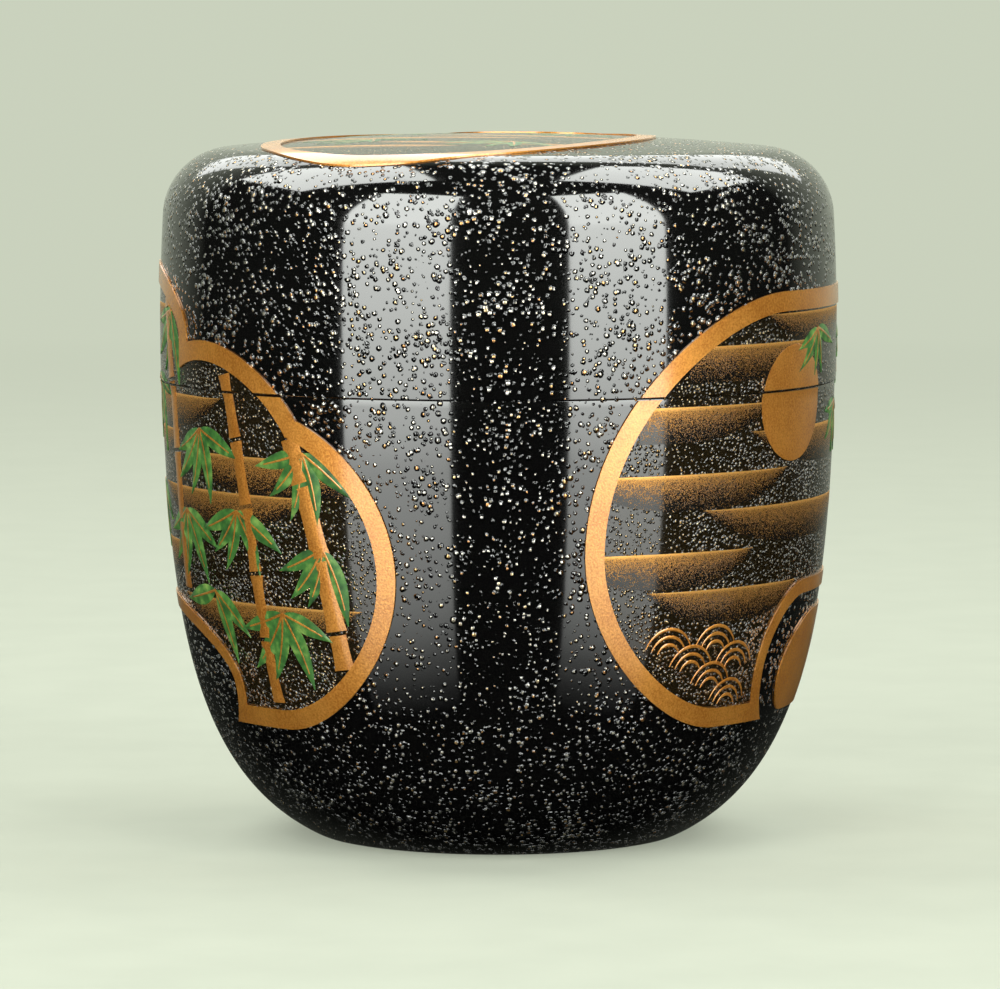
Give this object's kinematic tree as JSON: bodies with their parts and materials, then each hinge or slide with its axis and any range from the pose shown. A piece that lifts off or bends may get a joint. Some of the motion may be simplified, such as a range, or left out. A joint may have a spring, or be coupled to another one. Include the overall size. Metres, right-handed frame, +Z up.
{
  "type": "tea caddy",
  "caption": "Round lacquered tea caddy with a domed lift-off lid over a standing collar, and gold-bordered fan windows split at the seam.",
  "frame": {"origin": "middle of the foot ring, on the surface that the caddy stands on", "axes": "+Z up along the turning axis, window centres on +X and -X"},
  "size_m": [0.0666, 0.0664, 0.0687],
  "materials": {
    "lacquer": "turned wood under polished black lacquer with gold and silver flakes",
    "gold": "gold powder in raised lacquer, satin and finely granular",
    "window_ground": "fine gold dust in dark lacquer",
    "leaf_green": "green lacquer, satin"
  },
  "bodies": {
    "body": {"body_shell": "lacquer", "round_fan_border_body": "gold", "round_fan_grip": "gold", "lobed_fan_border_body": "gold"},
    "lid": {"lid_shell": "lacquer", "round_fan_border_lid": "gold", "lobed_fan_border_lid": "gold", "oval_fan_border_top": "gold"}
  },
  "joints": [
    {"name": "lid_lift", "type": "slide", "parent": "body", "child": "lid", "axis": [0, 0, 1], "range_m": [0, 0.04]}
  ]
}
